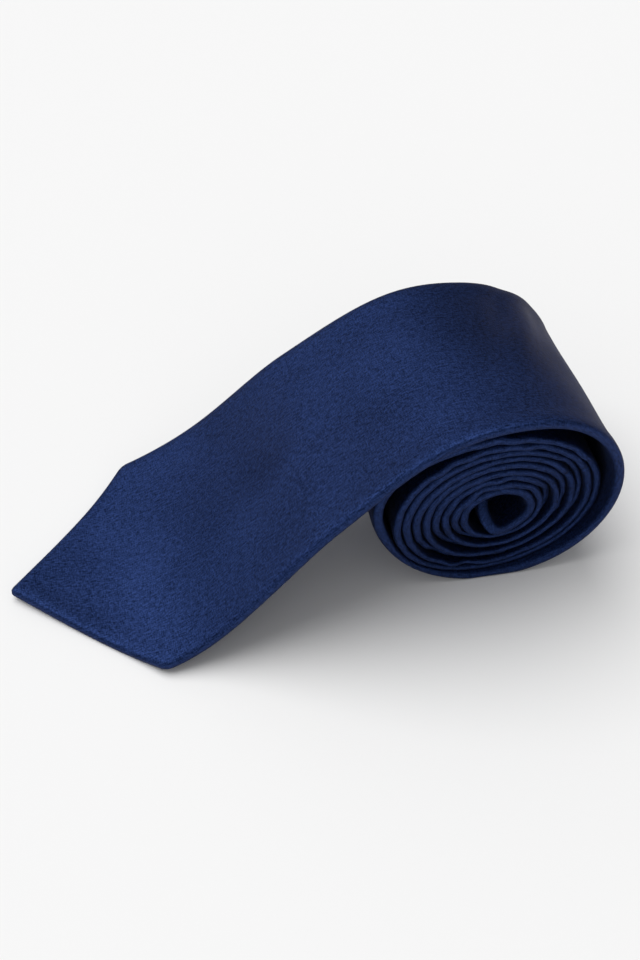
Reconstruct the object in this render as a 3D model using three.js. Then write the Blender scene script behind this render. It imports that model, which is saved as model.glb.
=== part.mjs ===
// A classic necktie, rolled up from its narrow end, with the wide blade lying out in front of the
// roll. Millimetres, +Z up. +X runs from the point of the blade to the roll, and the open end face
// of the roll looks along -Y. The origin is at the bottom centre of the whole tie.
import * as THREE from "three";

// ---- driving dimensions ----
const BLADE_WIDTH = 80; // across the corners of the blade's point
const POINT_LENGTH = 41.5; // from the point of the blade to its corners
const BLADE_TAPER = 0.066; // width lost for each mm above the corners
const NECK_WIDTH = 34.5;
const NECK_END = 1000; // where the tie starts to widen again towards the tail
const TAIL_WIDTH = 48;
const TAIL_POINT_LENGTH = 24.5;
const TIP_HALF_WIDTH = 1.3; // the blunt end of either point

const FREE_THICKNESS = 2.9; // the blade where nothing presses on it
const ROLLED_THICKNESS = 1.68;
const PRESSED_FROM = 150; // the blade thins between these lengths, as the roll presses on it
const PRESSED_TO = 420;

const SILK = 0.42;
const LAYER_GAP = 0.14; // between parallel layers
const TIPPING = 0.3;
const SEAM_HALF_GAP = 0.8; // half the space between the two back flaps
const CUT_GAP = 0.3; // where one piece ends and the next begins
const BACK_GAP = 0.32; // under what is sewn on behind

const BLADE_HEM = 18.5; // the hem along the point, measured straight across the tie
const TAIL_HEM = 11.5;
const BLADE_FLAPS_MEET = 96; // length from the point at which the back flaps come together
const TAIL_FLAPS_MEET = 60;
const FLAP_LIP = 0.06; // how far a flap always reaches past the fold
const INTERLINING_INSET = 0.6; // from either point
const TIPPING_INSET = 4; // from the hinge line, and from the tail's point
const BLADE_TIPPING_FROM = 6;
const TAIL_TIPPING = 68; // length of the tail's tipping, from its point
const TIPPING_SIDE_GAP = 0.3;
const NARROWEST = 0.4; // half the width of a lining at the point
// Between these lengths the interlining gains the thickness the tipping gives up.
const BLADE_TIPPING_FADE = [115, 150];
const TAIL_TIPPING_FADE = [110, 75];

const THREAD = { half: 0.25, top: 0.36, bottom: 0.06 };
const SPARE_LOOP = { half: 0.3, from: 5, to: 10.5 }; // lengths beyond the end of the seam
const BAR_TACK = { half: 3.6, along: 0.6, thick: 0.3 };
const KEEPER = { near: -19, far: 15, foot: 3.5, ramp: 1, rise: 0.45, thick: 0.55 };
const KEEPER_TACKS = [[-18.6, -17.8], [13.8, 14.6]];
const LABEL = { half: 13, thick: 0.35 };

const NECK_SEAM = 620; // blade piece to neck piece
const TAIL_SEAM = 950; // neck piece to tail piece
const LINING_JOIN = 800; // blade interlining to tail interlining

// ---- how the tie lies ----
const LIE = {
  tip: new THREE.Vector2(0, 4.6), // top surface at the point
  floor: new THREE.Vector2(24, 3.0), // lowest place of the blade
  lift: new THREE.Vector2(93.8, 47.3), // middle of the slope, where the blade bends when lifted
  liftAngle: 37,
};
// Each part of the roll is a spiral about a centre that drifts with each turn inwards.
const LOOSE_TURN = {
  centre: [146.35, 32.75],
  drift: [-0.2, -0.53],
  half: [33.75, 30.95],
  pitch: [2.83, 2.8],
};
const TIGHT_TURNS = {
  centre: [146.15, 31.7],
  drift: [0.3, -0.475],
  half: [33.85, 30.2],
  pitch: [2.76, 2.415],
};
const CURLED_END = {
  centre: [147.6, 24.7],
  drift: [0, 0],
  half: [27, 27],
  pitch: [2.5, 2.5],
};
// Angles are clockwise from the top of the outer turn.
const ROLL_START = 10;
const TIGHT_FROM = 300;
const TIGHT_BY = 400;
const CURL_FROM = 3385;
const CURL_BY = 3560;
const ROLL_END = 3830;
const ROLL_STEP = 20;
// Where the outer turn stands away from the tight roll: [angle, width, distance].
const SLACK = [[0, 70, 3.6], [165, 55, 1.6], [293, 34, 5]];
const NEAR_EDGE = -25.5; // the rolled turns lie with their near edges in one plane
const CORE_RECESS = 1.5; // but the core sits a little deeper
const BLADE_SKEW = 0.018; // sideways drift of the blade for each mm of length
const SKEW_END = 250;
const FLUSH_FROM = 370;
// The near edge of the outer turn stands out by up to this much, and its far edge in.
const FLARE = { most: 4.1, at: 178, before: 62, after: 34, from: 50, to: 245 };

const clamp01 = (x) => Math.min(1, Math.max(0, x));
const ease = (x, from, to) => THREE.MathUtils.smoothstep(x, from, to);
const bump = (x, centre, width) => Math.exp(-(((x - centre) / width) ** 2));
const mix = THREE.MathUtils.lerp;

// ---- the line of the top surface, from the point of the blade to the core ----
function spiralPoint(spiral, angle, slack) {
  const turn = angle / 360 - 1;
  const a = THREE.MathUtils.degToRad(angle);
  const radius = spiral.half.map((half, i) => half - spiral.pitch[i] * turn + slack);
  return new THREE.Vector2(
    spiral.centre[0] + spiral.drift[0] * turn + radius[0] * Math.sin(a),
    spiral.centre[1] + spiral.drift[1] * turn + radius[1] * Math.cos(a));
}

function rollPoint(angle) {
  const slack = SLACK.reduce((sum, [at, width, most]) => sum + most * bump(angle, at, width), 0);
  const point = spiralPoint(LOOSE_TURN, angle, slack)
    .lerp(spiralPoint(TIGHT_TURNS, angle, slack), ease(angle, TIGHT_FROM, TIGHT_BY))
    .lerp(spiralPoint(CURLED_END, angle, 0), ease(angle, CURL_FROM, CURL_BY));
  point.y = Math.max(0, point.y);
  return point;
}

function towards(point, degrees, distance) {
  const a = THREE.MathUtils.degToRad(degrees);
  return new THREE.Vector2(point.x + distance * Math.cos(a), point.y + distance * Math.sin(a));
}

function bladeCurves() {
  const { tip, floor, lift, liftAngle } = LIE;
  const top = rollPoint(ROLL_START);
  const ahead = rollPoint(ROLL_START + 1).sub(rollPoint(ROLL_START - 1)).normalize();
  const curl = new THREE.CubicBezierCurve(tip, towards(tip, -5, 10), towards(floor, 180, 8), floor);
  const slope = new THREE.CubicBezierCurve(
    floor, towards(floor, 0, 33), towards(lift, liftAngle + 180, 22), lift);
  const crest = new THREE.CubicBezierCurve(
    lift, towards(lift, liftAngle, 29), top.clone().addScaledVector(ahead, -26), top);
  const bend = [curl, slope, crest].map((curve) => curve.getLength());
  const path = new THREE.CurvePath();
  path.curves.push(curl, slope, crest);
  return { path, liftLength: bend[0] + bend[1], total: bend[0] + bend[1] + bend[2] };
}

function spread(from, to, steps) {
  return Array.from({ length: steps }, (_, i) => mix(from, to, i / steps));
}

function layStations() {
  const { path, liftLength, total } = bladeCurves();
  const lengths = [
    ...spread(0, POINT_LENGTH, 5),
    ...spread(POINT_LENGTH, liftLength, 7),
    ...spread(liftLength, total, 8),
  ];
  const points = lengths.map((s) => path.getPointAt(s / total));
  const hinge = lengths.indexOf(liftLength);
  for (let angle = ROLL_START; angle <= ROLL_END; angle += ROLL_STEP) {
    points.push(rollPoint(angle));
  }
  const stations = points.map((point, i) => {
    const before = points[Math.max(0, i - 1)];
    const after = points[Math.min(points.length - 1, i + 1)];
    const along = after.clone().sub(before).normalize();
    return { x: point.x, z: point.y, nx: -along.y, nz: along.x, s: 0 };
  });
  for (let i = 1; i < stations.length; i += 1) {
    stations[i].s = stations[i - 1].s + points[i].distanceTo(points[i - 1]);
  }
  return { stations, hinge, firstTurn: lengths.length };
}

const { stations, hinge, firstTurn } = layStations();
const LENGTH = stations[stations.length - 1].s;

// ---- width, thickness and place across the tie ----
function halfWidth(s) {
  const fromTail = LENGTH - s;
  const blade = BLADE_WIDTH - BLADE_TAPER * (s - POINT_LENGTH);
  const tail = mix(NECK_WIDTH, TAIL_WIDTH, clamp01((s - NECK_END) / (LENGTH - NECK_END)));
  const body = Math.max(blade, NECK_WIDTH, tail) / 2;
  const bladePoint = (s / POINT_LENGTH) * (BLADE_WIDTH / 2);
  const tailPoint = (fromTail / TAIL_POINT_LENGTH) * (TAIL_WIDTH / 2);
  return Math.max(TIP_HALF_WIDTH, Math.min(body, bladePoint, tailPoint));
}

function thickness(s) {
  return mix(FREE_THICKNESS, ROLLED_THICKNESS, ease(s, PRESSED_FROM, PRESSED_TO));
}

function centreLine(s) {
  const shoulder = Math.min(s, LENGTH - TAIL_POINT_LENGTH);
  const flush = NEAR_EDGE + CORE_RECESS * (s / LENGTH) + halfWidth(shoulder);
  return mix(BLADE_SKEW * s, flush, ease(s, SKEW_END, FLUSH_FROM));
}

function flare(s) {
  if (s < FLARE.from || s > FLARE.to) {
    return 0;
  }
  return FLARE.most * bump(s, FLARE.at, s < FLARE.at ? FLARE.before : FLARE.after);
}

// Half the opening between the back flaps: wide behind each point, closed along the seam.
function flapGap(s) {
  const fromTail = LENGTH - s;
  const front = s < POINT_LENGTH
    ? halfWidth(s) - BLADE_HEM
    : (BLADE_WIDTH / 2 - BLADE_HEM) * (1 - (s - POINT_LENGTH) / (BLADE_FLAPS_MEET - POINT_LENGTH));
  const back = fromTail < TAIL_POINT_LENGTH
    ? halfWidth(s) - TAIL_HEM
    : (TAIL_WIDTH / 2 - TAIL_HEM) * (1 - (fromTail - TAIL_POINT_LENGTH)
      / (TAIL_FLAPS_MEET - TAIL_POINT_LENGTH));
  return Math.max(SEAM_HALF_GAP, front, back);
}

// The layer of tipping behind each point takes its thickness out of the interlining.
function tippingRoom(s) {
  const front = 1 - ease(s, ...BLADE_TIPPING_FADE);
  const back = ease(s, ...TAIL_TIPPING_FADE.map((fromTail) => LENGTH - fromTail));
  return (TIPPING + LAYER_GAP) * Math.max(front, back);
}

// ---- solids swept along the tie ----
// A section is a list of [across, depth] pairs: mm from the centre line, and mm below the top.
function ring(station, section) {
  const lean = flare(station.s) / halfWidth(station.s);
  return section.map(([across, depth]) => {
    const lift = -lean * across - depth;
    return new THREE.Vector3(
      station.x + station.nx * lift, centreLine(station.s) + across, station.z + station.nz * lift);
  });
}

function ringAt(place, sectionAt) {
  const i = Math.min(stations.length - 2, Math.floor(place));
  const start = ring(stations[i], sectionAt(stations[i].s));
  const end = ring(stations[i + 1], sectionAt(stations[i + 1].s));
  return start.map((point, k) => point.lerp(end[k], place - i));
}

// The place of a length along the tie, counted in stations.
function placeOf(s) {
  const i = stations.findIndex((station) => station.s > s);
  return i - 1 + (s - stations[i - 1].s) / (stations[i].s - stations[i - 1].s);
}

function sweep(from, to, sectionAt) {
  const places = [from];
  for (let i = Math.floor(from) + 1; i < to - 0.001; i += 1) {
    places.push(i);
  }
  places.push(to);
  const rings = places.map((place) => ringAt(place, sectionAt));
  const count = rings[0].length;
  const positions = rings.flat().flatMap((point) => [point.x, point.y, point.z]);
  const indices = [];
  // Each face is split along the same diagonal in every layer, so that twisted layers stay parallel.
  for (let i = 0; i + 1 < rings.length; i += 1) {
    for (let k = 0; k < count; k += 1) {
      const a = i * count + k;
      const b = i * count + ((k + 1) % count);
      const rightwards = rings[i][b - i * count].y >= rings[i][k].y;
      if (rightwards) {
        indices.push(a, a + count, b + count, a, b + count, b);
      } else {
        indices.push(a, a + count, b, b, a + count, b + count);
      }
    }
  }
  const cap = (s) => THREE.ShapeUtils.triangulateShape(
    sectionAt(s).map(([across, depth]) => new THREE.Vector2(across, -depth)), []);
  const sAt = (place) => {
    const i = Math.min(stations.length - 2, Math.floor(place));
    return mix(stations[i].s, stations[i + 1].s, place - i);
  };
  const last = (rings.length - 1) * count;
  cap(sAt(from)).forEach(([a, b, c]) => indices.push(c, b, a));
  cap(sAt(to)).forEach(([a, b, c]) => indices.push(last + a, last + b, last + c));
  const geometry = new THREE.BufferGeometry();
  geometry.setAttribute("position", new THREE.Float32BufferAttribute(positions, 3));
  geometry.setIndex(indices);
  geometry.computeVertexNormals();
  return geometry;
}

// The silk envelope: the front, a fold along each edge, and two flaps that meet behind.
function envelopeSection(s) {
  const outer = halfWidth(s);
  const inner = outer - SILK;
  const gap = Math.min(flapGap(s), inner - FLAP_LIP);
  const back = thickness(s);
  return [
    [-gap, back], [-outer, back], [-outer, 0], [outer, 0], [outer, back], [gap, back],
    [gap, back - SILK], [inner, back - SILK], [inner, SILK],
    [-inner, SILK], [-inner, back - SILK], [-gap, back - SILK],
  ];
}

function flatSection(half, top, bottom) {
  return [[-half, bottom], [-half, top], [half, top], [half, bottom]];
}

function interliningSection(s) {
  const half = Math.max(NARROWEST, halfWidth(s) - SILK - LAYER_GAP);
  const bottom = thickness(s) - SILK - LAYER_GAP - tippingRoom(s);
  return [...flatSection(half, SILK + LAYER_GAP, bottom), [0, bottom]];
}

function tippingSection(s) {
  const bottom = thickness(s) - SILK - LAYER_GAP;
  const half = Math.max(NARROWEST, halfWidth(s) - SILK - TIPPING_SIDE_GAP);
  return flatSection(half, bottom - TIPPING, bottom);
}

function threadSection(s) {
  return flatSection(THREAD.half, thickness(s) - THREAD.top, thickness(s) - THREAD.bottom);
}

// ---- materials ----
const silk = () => new THREE.MeshStandardMaterial({ color: 0x1c2c5c, roughness: 0.55, metalness: 0 });
const wool = () => new THREE.MeshStandardMaterial({ color: 0xe6e1d3, roughness: 0.95, metalness: 0 });
const lining = () => new THREE.MeshStandardMaterial({ color: 0x16224a, roughness: 0.5, metalness: 0 });
const thread = () => new THREE.MeshStandardMaterial({ color: 0x131c3c, roughness: 0.7, metalness: 0 });
const label = () => new THREE.MeshStandardMaterial({ color: 0xe9e8e4, roughness: 0.6, metalness: 0 });

function piece(name, geometry, material) {
  const mesh = new THREE.Mesh(geometry, material);
  mesh.name = name;
  return mesh;
}

// ---- pieces ----
const CUT = 0.5 * CUT_GAP;
const END = stations.length - 1;
const hingeLength = stations[hinge].s;

function envelopePieces() {
  const cut = (s) => [placeOf(s - CUT), placeOf(s + CUT)];
  const [freeEnd, rolledStart] = cut(hingeLength);
  const [bladeEnd, neckStart] = cut(NECK_SEAM);
  const [neckEnd, tailStart] = cut(TAIL_SEAM);
  return [
    piece("blade_panel_free", sweep(0, freeEnd, envelopeSection), silk()),
    piece("blade_panel_rolled", sweep(rolledStart, bladeEnd, envelopeSection), silk()),
    piece("neck_panel", sweep(neckStart, neckEnd, envelopeSection), silk()),
    piece("tail_panel", sweep(tailStart, END, envelopeSection), silk()),
  ];
}

function interliningPieces() {
  const end = placeOf(LENGTH - INTERLINING_INSET);
  return [
    piece("blade_interlining_free",
      sweep(placeOf(INTERLINING_INSET), placeOf(hingeLength - CUT), interliningSection), wool()),
    piece("blade_interlining_rolled",
      sweep(placeOf(hingeLength + CUT), placeOf(LINING_JOIN - CUT), interliningSection), wool()),
    piece("tail_interlining",
      sweep(placeOf(LINING_JOIN + CUT), end, interliningSection), wool()),
  ];
}

function tippingPieces() {
  const blade = [BLADE_TIPPING_FROM, hingeLength - TIPPING_INSET].map(placeOf);
  const tail = [LENGTH - TAIL_TIPPING, LENGTH - TIPPING_INSET].map(placeOf);
  return [
    piece("blade_tipping", sweep(...blade, tippingSection), lining()),
    piece("tail_tipping", sweep(...tail, tippingSection), lining()),
  ];
}

const STITCH_FROM = BLADE_FLAPS_MEET + 2.4;
const STITCH_TO = LENGTH - TAIL_FLAPS_MEET - 4;
const BLADE_TACK_AT = BLADE_FLAPS_MEET + 0.4;
const TAIL_TACK_AT = LENGTH - TAIL_FLAPS_MEET - 1;

function stitchPieces() {
  return [
    piece("slip_stitch_free",
      sweep(placeOf(STITCH_FROM), placeOf(hingeLength - CUT), threadSection), thread()),
    piece("slip_stitch_rolled",
      sweep(placeOf(hingeLength + CUT), placeOf(STITCH_TO), threadSection), thread()),
  ];
}

// A bar tack is a short thread bar sewn across the two flaps where they meet.
function barTack(name, s) {
  const section = (at) => {
    const back = thickness(at) + BACK_GAP;
    return flatSection(BAR_TACK.half, back, back + BAR_TACK.thick);
  };
  const [from, to] = [s - BAR_TACK.along, s + BAR_TACK.along].map(placeOf);
  return piece(name, sweep(from, to, section), thread());
}

// The keeper is a flattened band across the back of the blade: the tail slides between the two.
function keeperSection(s) {
  const { near, far, foot, ramp, rise, thick } = KEEPER;
  const back = thickness(s) + BACK_GAP;
  const front = back + thick;
  return [
    [near, back], [near + foot, back], [near + foot + ramp, back + rise],
    [far - foot - ramp, back + rise], [far - foot, back], [far, back],
    [far, front], [far - foot + thick, front], [far - foot - ramp + thick, front + rise],
    [near + foot + ramp - thick, front + rise], [near + foot - thick, front], [near, front],
  ];
}

function keeperPieces() {
  const facet = firstTurn + 2; // the facet from 50 to 70 degrees
  const tack = (name, [from, to]) => {
    const section = (s) => {
      const back = thickness(s) + BACK_GAP + KEEPER.thick + LAYER_GAP;
      const front = back + BAR_TACK.thick;
      return [[from, front], [from, back], [to, back], [to, front]];
    };
    return piece(name, sweep(facet + 0.2, facet + 0.8, section), thread());
  };
  return [
    piece("keeper_loop", sweep(facet + 0.12, facet + 0.88, keeperSection), silk()),
    tack("keeper_tack_near", KEEPER_TACKS[0]),
    tack("keeper_tack_far", KEEPER_TACKS[1]),
  ];
}

function careLabel() {
  const facet = firstTurn + 1; // the facet from 30 to 50 degrees
  const section = (s) => {
    const back = thickness(s) + BACK_GAP;
    return flatSection(LABEL.half, back, back + LABEL.thick);
  };
  return piece("care_label", sweep(facet + 0.06, facet + 0.94, section), label());
}

// The slip stitch ends in a spare loop of its own thread, so that the seam can give.
function spareLoop() {
  const [from, to] = [SPARE_LOOP.from, SPARE_LOOP.to].map(
    (beyond) => placeOf(LENGTH - TAIL_FLAPS_MEET + beyond));
  const section = (s) => flatSection(
    SPARE_LOOP.half, thickness(s) - THREAD.top, thickness(s) - THREAD.bottom);
  return piece("spare_thread_loop", sweep(from, to, section), thread());
}

const tie = new THREE.Group();
tie.add(
  ...envelopePieces(),
  ...interliningPieces(),
  ...tippingPieces(),
  ...stitchPieces(),
  barTack("bar_tack_blade", BLADE_TACK_AT),
  barTack("bar_tack_tail", TAIL_TACK_AT),
  ...keeperPieces(),
  careLabel(),
  spareLoop(),
);

const box = new THREE.Box3().setFromObject(tie);
tie.position.set(-(box.min.x + box.max.x) / 2, -(box.min.y + box.max.y) / 2, -box.min.z);

export default tie;
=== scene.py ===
"""A necktie rolled up from its narrow end, with its wide blade lying out in front of the roll.

Lengths in this script are in millimetres: s along the tie from the point of its blade, across it
from its middle, and in depth below its top surface.
"""

import math

import bpy
import numpy as np
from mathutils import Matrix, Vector


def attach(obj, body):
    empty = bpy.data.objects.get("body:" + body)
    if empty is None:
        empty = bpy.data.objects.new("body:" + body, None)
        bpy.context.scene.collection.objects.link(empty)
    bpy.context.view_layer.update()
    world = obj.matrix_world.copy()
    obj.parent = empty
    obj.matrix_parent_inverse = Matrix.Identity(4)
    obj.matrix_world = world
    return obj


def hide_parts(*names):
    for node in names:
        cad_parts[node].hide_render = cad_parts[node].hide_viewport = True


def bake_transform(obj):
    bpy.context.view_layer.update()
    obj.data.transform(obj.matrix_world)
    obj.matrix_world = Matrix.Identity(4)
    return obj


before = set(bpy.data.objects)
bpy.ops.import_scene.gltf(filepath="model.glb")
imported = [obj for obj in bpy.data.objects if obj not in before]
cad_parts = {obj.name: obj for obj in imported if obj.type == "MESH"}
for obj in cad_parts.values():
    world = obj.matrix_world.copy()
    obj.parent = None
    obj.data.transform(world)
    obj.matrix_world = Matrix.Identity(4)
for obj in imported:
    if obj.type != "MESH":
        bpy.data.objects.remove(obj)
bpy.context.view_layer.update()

MM = 0.001

# ---- the cut of the tie ----
BLADE_WIDTH = 80.0  # across the corners of the blade's point
POINT_LENGTH = 41.5  # from the point of the blade to its corners
BLADE_TAPER = 0.066  # width lost for each mm above the corners
NECK_WIDTH = 34.5
NECK_END = 1000.0
TAIL_WIDTH = 48.0
TAIL_POINT_LENGTH = 24.5
TIP_ROUND = 1.6  # how softly the two sides of a point meet
CORNER_ROUND = 1.6  # how softly a point meets the straight sides
NECK_ROUND = 4.0  # how softly the taper ends at the neck

BLADE_HEM = 18.5  # the hem along the point, measured straight across the tie
TAIL_HEM = 11.5
BLADE_FLAPS_MEET = 96.0
TAIL_FLAPS_MEET = 60.0
SEAM_HALF_GAP = 0.22
NECK_SEAM = 620.0
TAIL_SEAM = 950.0
LINING_JOIN = 800.0
LINING_INSET = 1.2  # the interlining stops this far short of each point
SEAM_GAP = 0.05  # half the gap between one length of cloth and the next
BLADE_TIPPING = (6.5, 103.0)  # where the tipping starts and ends, from the point of the blade
TAIL_TIPPING = (68.0, 6.5)  # the same, back from the point of the tail

# ---- through the cloth ----
FREE_THICKNESS = 3.15  # of the whole tie where nothing presses on it
FOLD_REACH = 1.8  # how far in from the edge a fold is round
FOLD_POWER = 2.8  # 2 is an ellipse, more is squarer
TURN_GAP = 0.3  # air between one turn of the roll and the next
TURN_GAP_VARIES = 0.14
PRESSED_BLEND = 0.8  # how softly the pressed thickness gives way to the free one
CURL_THICKNESS = 3.15  # of the innermost turn and the tail's end, which nothing presses on
LOOSE_BEFORE_CURL = (-300, -120)  # degrees from the curl over which the pressing ends
TAIL_SWELL = 0.9  # the tail's end is loose, with its hem and tipping inside
TAIL_SWELL_OVER = (-10, 60)
SILK = 0.36
LAYER_GAP = 0.1
PILLOW = 0.24  # the cloth swells a little beside each fold
PILLOW_AT, PILLOW_WIDTH = 3.4, 2.4  # in from the edge
PILLOW_PRESSED = 0.6  # the share of it lost where the turns press on each other
PRESSED_OVER = (330, 420)
UNEVEN = 0.12  # slow waves in the lining under the silk
UNEVEN_IN = (1, 6)  # in from the edge
SEAM_DIP = 0.28  # how far the flaps turn in where they meet
SEAM_DIP_REACH = 0.9
LINING_DIP = 0.35  # how far the interlining makes room for that
TIP_INSET = 0.85  # the inner surface of the silk stops this far short of each point
TIP_INSET_REACH = 14.0
TIPPING = 0.26
TIPPING_LEVEL = 2.6  # how far the tipping stops short of the fold
BACK_GAP = 0.32  # under what is sewn on behind

# ---- how the tie lies ----
TIP = (0.0, 4.6)  # top surface at the point of the blade, as (x, z)
FLOOR = (24.0, 3.0)  # lowest place of the blade
LIFT = (93.8, 47.3)  # middle of the slope
LIFT_ANGLE = 37.0
TIP_ANGLE = -5.0
# How far the line keeps its direction on each side of these places, before it bends.
TIP_HOLD, FLOOR_HOLD, LIFT_HOLD, TOP_HOLD = 10.0, (8.0, 33.0), (22.0, 29.0), 26.0
# Each part of the roll is a spiral about a centre that drifts with each turn inwards.
# Half is its half width and half height, and pitch is what each turn takes from them.
LOOSE_TURN = {
    "centre": (146.35, 32.75),
    "drift": (-0.2, -0.53),
    "half": (33.75, 30.95),
    "pitch": (2.83, 2.8),
}
TIGHT_TURNS = {
    "centre": (146.15, 31.7),
    "drift": (0.3, -0.475),
    "half": (33.85, 30.2),
    "pitch": (2.76, 2.415),
}
CURLED_END = {
    "centre": (150.5, 27.8),
    "drift": (0, 0),
    "half": (32.7, 32.2),
    "pitch": (3.0, 3.0),
}
ROLL_START = 10.0  # degrees clockwise from the top
TIGHT_FROM, TIGHT_BY = 300.0, 400.0
CURL_FROM, CURL_BY = 3385.0, 3560.0
ROLL_END = 3646.0
# Where the outer turn stands away from the tight roll: (angle, width, distance).
SLACK = ((0, 70, 3.6), (165, 55, 1.6), (293, 34, 5.0))
CURL_RADIUS = 4.0  # taken for the spacing of the rows of points there
WOBBLE = 0.26  # how unevenly the turns are wound
WOBBLE_FROM = (330, 450)
PUCKER = 0.75  # the size of the kinks in the edges of the turns
RECESS = 2.5  # every second inner turn has slipped back by this much at the right and below
RECESS_TURNS = (3, 7)
RECESS_FROM = (30, 80)  # degrees within the turn over which it comes, and goes
RECESS_TO = (215, 265)
WANDER = 0.4  # how unevenly the near edges lie
WANDER_FROM = (290, 380)
NEAR_EDGE = -25.5  # the rolled turns lie with their near edges in one plane
CORE_RECESS = 1.5  # the near edge has moved back by this much at the core
TAIL_FORWARD = 5.0  # the tail's point has slid this far towards the near end
TAIL_FORWARD_FROM, TAIL_FORWARD_BY = 36.0, 8.0  # back from the point of the tail
BLADE_SKEW = 0.018  # how far the free blade runs off line for each mm
SKEW_END = 250.0
FLUSH_FROM = 370.0
FLARE = 4.6  # how far the outer turn leans: near edge out, far edge in
FLARE_CROWN = 0.55
FLARE_AT, FLARE_BEFORE, FLARE_AFTER = 178.0, 62.0, 34.0
FLARE_IN, FLARE_OUT = (50, 75), (225, 252)  # where it starts and where it has gone
EDGE_CRUMPLE = 0.17  # small waves in the near edge of the inner turns
CRUMPLE_REACH = 3.0
CRUMPLE_FROM = (330, 400)
CORNER_TWIST = 1.6  # the near corner of the point lies this much lower, the far one higher
CORNER_TWIST_AT, CORNER_TWIST_WIDTH = 46.0, 22.0
SHIFT = (-91.788, -0.7466)  # from the tie's own x and y to the shared frame's
FLOOR_PRESS = 4.0  # how abruptly the cloth flattens where it meets the floor, for each mm

# ---- what is sewn on, and where the back seam runs ----
SEAM_SINKS = (112, 122)  # the flaps turn in from here, clear of the tipping
SEAM_RISES = (84, 74)  # the same, back from the point of the tail
TIPPING_FADES = (115, 150)
TAIL_TIPPING_FADES = (110, 75)
STITCH = 11.0  # from one slip stitch to the next
# One stitch, as (share of its length, across, above the back). The next is its mirror image.
STITCH_ROUTE = ((0.0, 0.55, 0.22), (0.12, 0.0, -0.06), (0.24, -0.55, 0.22), (0.62, -0.3, 0.5))
STITCH_CLEAR = (3.0, 5.0)  # from the flaps' meeting points to the first and the last stitch
THREAD = 0.16  # radius
TACK_THREAD = 0.13
TACK_WAVE = 0.12  # how far the thread of a tack goes up and down
BAR_TACK = {"reach": 0.6, "half": 3.6, "passes": 22, "under": 0.1}
BAR_TACK_OFFSETS = (0.8, 1.0)  # past the flaps' meeting points, blade and tail
KEEPER_ANGLES = (51.6, 68.4)  # round the roll, degrees clockwise from the top
KEEPER_ACROSS = (-19.0, 15.0)
KEEPER_FEET = ((-16, -14), (10, 12))  # where the band rises off the back, and comes down
KEEPER_RISE = 0.45
KEEPER_THICKNESS = 0.55
KEEPER_TACK = {"reach": 2.6, "half": 0.4, "passes": 5}
KEEPER_TACKS_ACROSS = (-18.2, 14.2)
LABEL_ANGLES = (31.2, 48.8)
LABEL_HALF = 13.0
LABEL_THICKNESS = 0.3
BAND_EDGE = 0.3  # how far in from its edges a band is rounded
BAND_EDGE_LEAST = 0.02
SPARE_LOOP = {
    "from_seam_end": 7.6,
    "long": 2.4,
    "wide": 1.3,
    "taper": 0.3,
    "sunk": 0.3,
    "climb": 0.02,
}

# ---- how finely the meshes are made ----
FOLD_STEPS = 7
FRONT_STEPS = 9
BACK_STEPS = 7
POINT_ROWS = (0.06, 0.16, 0.34, 0.6, 0.95, 1.4, 2.0, 2.8, 3.8, 5.0)  # closer rows at a point
ROW_STEPS = (0.45, 1.4)
ROW_ANGLE = 0.07  # radians of bend from one row to the next
FOLD_SHARE = 0.72  # the most of the half width that a fold takes
FLAP_SHARE = 0.8  # the most of the flat part that the opening between the flaps takes
LAYER_ROUND = 0.4  # the least reach of the rounded edge of an inner layer
LINE_STEP = 0.5  # spacing of the points of the line of the tie
LINE_WINDOW = 9  # points over which its direction is smoothed
THICKNESS_WINDOW = 25
THREAD_SIDES = 6
THREAD_STEPS = 3
BAND_POINTS = 12
KEEPER_POINTS, LABEL_POINTS, SPARE_LOOP_POINTS = 58, 40, 17

# ---- colours and weave ----
TWILL_PITCH = 0.38  # from one twill line to the next
YARN_PITCH = 0.19
GRAIN = 5.0  # contrast of the slubs
SILK_DARK = (0.0043, 0.0102, 0.037, 1)
SILK_LIGHT = (0.0235, 0.0465, 0.155, 1)
SILK_SHINE = (0.6, 0.57, 0.55, 1)  # the reflection at a glancing angle
SILK_SHEEN = (1.0, 0.95, 0.9, 1)
# lighter navy along the folded edges: partly rubbed wear, partly a painted sheen highlight on the fold's
# ridge
SILK_WEAR_AND_SHEEN = (0.036, 0.064, 0.19, 1)
WOOL_DARK, WOOL_LIGHT = (0.52, 0.47, 0.37, 1), (0.86, 0.82, 0.72, 1)
LINING_DARK, LINING_LIGHT = (0.01, 0.018, 0.06, 1), (0.028, 0.048, 0.14, 1)
THREAD_DARK, THREAD_LIGHT = (0.004, 0.009, 0.035, 1), (0.03, 0.05, 0.15, 1)
LABEL_DARK, LABEL_LIGHT = (0.55, 0.54, 0.5, 1), (0.82, 0.81, 0.77, 1)
FLOOR_WHITE = (0.865, 0.865, 0.865, 1)

# ---- camera, floor and light ----
CAMERA_AZIMUTH = -13.418
CAMERA_ELEVATION = 49.087
CAMERA_DISTANCE = 450.66
CAMERA_LENS = 54.417
CAMERA_SENSOR = 36.0
CAMERA_TARGET = (7.315, 3.257, 25.0)
FLOOR_HALF = 2500.0
FLOOR_LEVEL = -0.02
KEY_STRENGTH = 2.08
KEY_ANGLE = 54.0
KEY_FROM = (-0.22, 0.2, 0.9)
SKY_LEFT = (0.66, 0.66, 0.66)  # a wide soft box on one side, and a dimmer room on the other
SKY_RIGHT = (0.25, 0.25, 0.25)

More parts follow.
